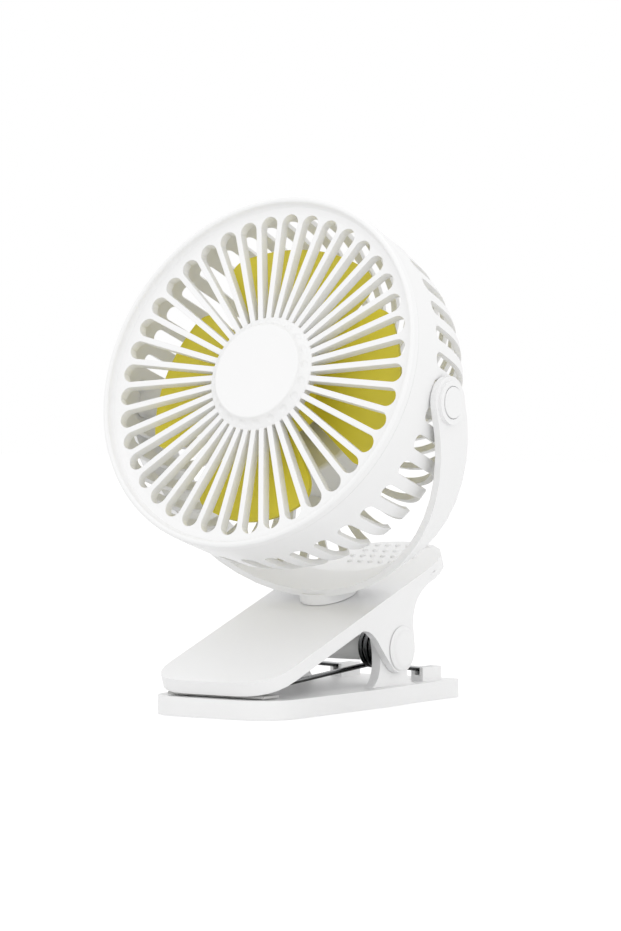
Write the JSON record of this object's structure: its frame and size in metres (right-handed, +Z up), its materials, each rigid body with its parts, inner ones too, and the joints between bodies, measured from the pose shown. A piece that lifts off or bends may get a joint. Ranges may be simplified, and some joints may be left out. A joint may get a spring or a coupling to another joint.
{
  "type": "clip fan",
  "caption": "Round fan head with slotted grille and housing, held in a half-ring yoke that tilts and swivels on a sprung clip.",
  "frame": {"origin": "middle of the base jaw's underside, on the surface that the fan stands on", "axes": "+Z up; the fan's face and the clip's mouth look to -Y; +X is the right-hand side seen from the front"},
  "size_m": [0.1546, 0.1417, 0.2033],
  "materials": {
    "white_plastic": "satin white moulded plastic",
    "inner_plastic": "satin white moulded plastic",
    "yellow_plastic": "satin yellow plastic",
    "rubber_grey": "matt soft rubber",
    "spring_wire": "bright plated wire",
    "steel": "plain steel",
    "board": "green circuit board",
    "black_plastic": "plain black",
    "lens": "clear lens"
  },
  "bodies": {
    "lower_jaw": {"lower_jaw": "white_plastic", "foot_pad": "rubber_grey", "lower_grip_pad": "rubber_grey", "hinge_pin": "steel", "spring_sleeve": "inner_plastic", "torsion_spring": "spring_wire"},
    "upper_jaw": {"upper_jaw": "white_plastic", "upper_grip_pad": "rubber_grey", "hinge_cap_right": "white_plastic", "hinge_cap_left": "white_plastic"},
    "yoke": {"yoke": "white_plastic", "swivel_washer": "steel", "swivel_screw": "steel", "pivot_cap_right": "white_plastic", "pivot_cap_left": "white_plastic"},
    "head": {"front_grille": "white_plastic", "rear_housing": "white_plastic", "rear_cover": "white_plastic", "cover_screw_1": "steel", "cover_screw_2": "steel", "cover_screw_3": "steel", "motor_can": "steel", "battery_cell": "black_plastic", "circuit_board": "board", "switch_body": "black_plastic", "usb_socket": "steel", "indicator_lens": "lens", "pivot_screw_right": "steel", "pivot_screw_left": "steel", "friction_washer_right": "rubber_grey", "friction_washer_left": "rubber_grey"},
    "impeller": {"impeller": "yellow_plastic", "motor_shaft": "steel"},
    "power_button": {"power_button": "white_plastic"}
  },
  "joints": [
    {"name": "clip_hinge", "type": "hinge", "parent": "lower_jaw", "child": "upper_jaw", "pos_m": [0, 0.023, 0.0227], "axis": [-1, 0, 0], "range_deg": [0, 30], "stiffness_Nm_per_rad": 1.2, "springref_deg": -20.05, "deforming": ["torsion_spring"]},
    {"name": "base_swivel", "type": "hinge", "parent": "upper_jaw", "child": "yoke", "pos_m": [0, 0.01414, 0.04375], "axis": [0, -0.3338, 0.9426], "continuous": true},
    {"name": "head_tilt", "type": "hinge", "parent": "yoke", "child": "head", "pos_m": [0, -0.0135, 0.1218], "axis": [-1, 0, 0], "range_deg": [-45, 90]},
    {"name": "fan_spin", "type": "hinge", "parent": "head", "child": "impeller", "pos_m": [0, -0.03376, 0.13324], "axis": [0, -0.9438, 0.3305], "continuous": true},
    {"name": "button_press", "type": "slide", "parent": "head", "child": "power_button", "axis": [0, -0.9438, 0.3305], "range_m": [0, 0.0008], "stiffness_N_per_m": 600, "springref_m": -0.0008}
  ]
}
